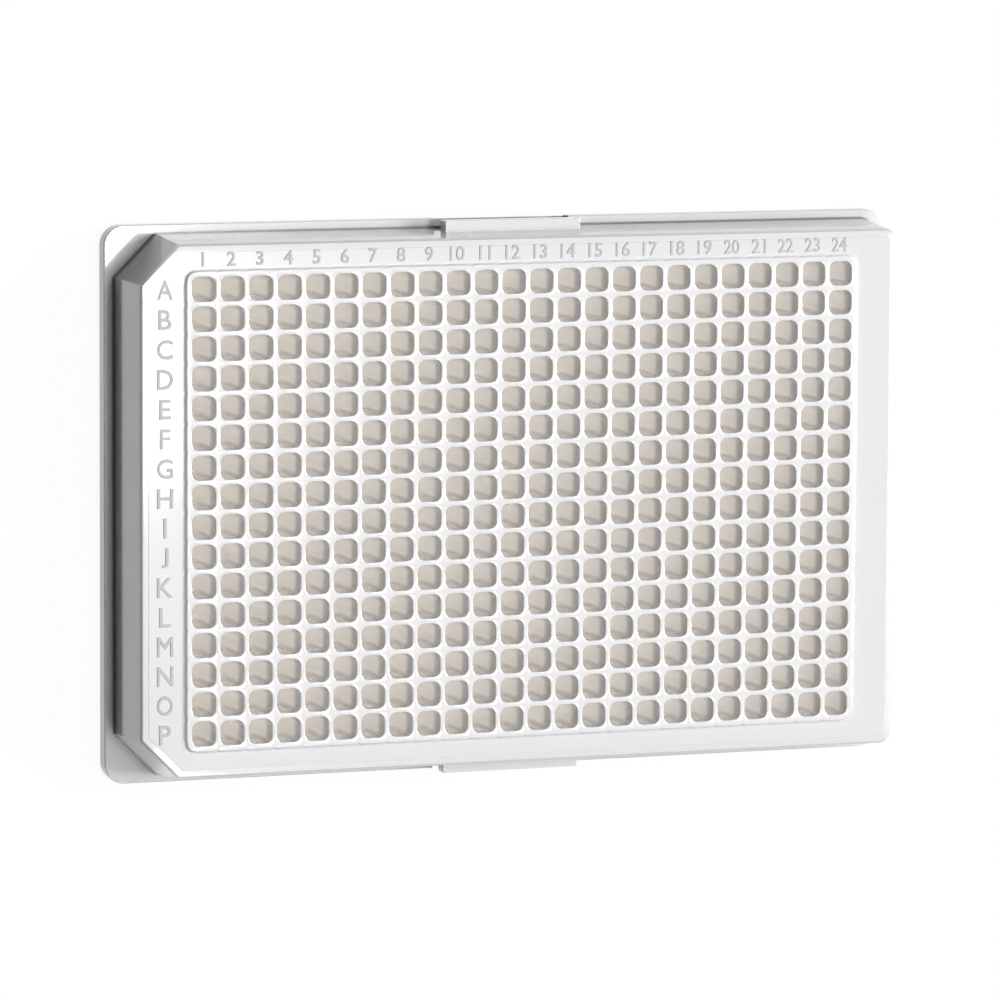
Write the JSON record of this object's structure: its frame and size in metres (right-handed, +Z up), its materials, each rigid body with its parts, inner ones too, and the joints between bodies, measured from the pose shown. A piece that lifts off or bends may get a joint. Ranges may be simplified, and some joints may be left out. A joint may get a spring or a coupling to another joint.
{
  "type": "well plate",
  "caption": "Flat rectangular moulded tray with a dense grid of small square open-topped wells, two cut corners and a stepped foot flange.",
  "frame": {"origin": "middle of the footprint, at bench level", "axes": "+X along the columns away from column 1, +Y towards row A, +Z up out of the wells"},
  "size_m": [0.1278, 0.0854, 0.0143],
  "materials": {
    "polystyrene": "glossy white, as moulded"
  },
  "bodies": {
    "root": {"well_plate": "polystyrene"}
  },
  "joints": []
}
